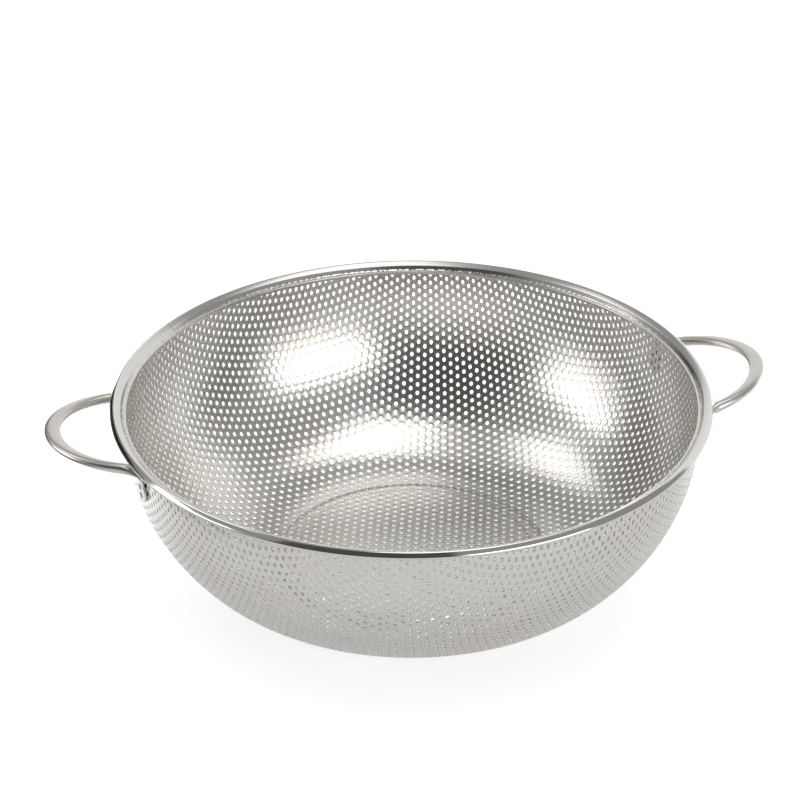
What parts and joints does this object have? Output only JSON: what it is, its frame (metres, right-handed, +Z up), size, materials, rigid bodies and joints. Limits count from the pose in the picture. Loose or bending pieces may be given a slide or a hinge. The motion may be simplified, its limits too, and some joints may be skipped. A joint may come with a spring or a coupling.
{
  "type": "colander",
  "caption": "Round stainless steel colander: a perforated drawn bowl with a folded, beaded rim band and a looped handle welded to each side, standing on a pressed foot ring.",
  "frame": {"origin": "on the bowl's axis, on the flat surface that the foot ring stands on", "axes": "+Z up along the bowl's axis; +X out through the right handle, +Y to the back"},
  "size_m": [0.34, 0.28, 0.0902],
  "materials": {
    "bowl_sheet": "semi-polished, perforated",
    "rim_strip": "satin strip with a polished bead",
    "handle_rod": "satin",
    "weld_metal": "pressed flat"
  },
  "bodies": {
    "root": {"bowl": "bowl_sheet", "rim_band": "rim_strip", "left_handle": "handle_rod", "right_handle": "handle_rod", "left_handle_welds": "weld_metal", "right_handle_welds": "weld_metal"}
  },
  "joints": []
}
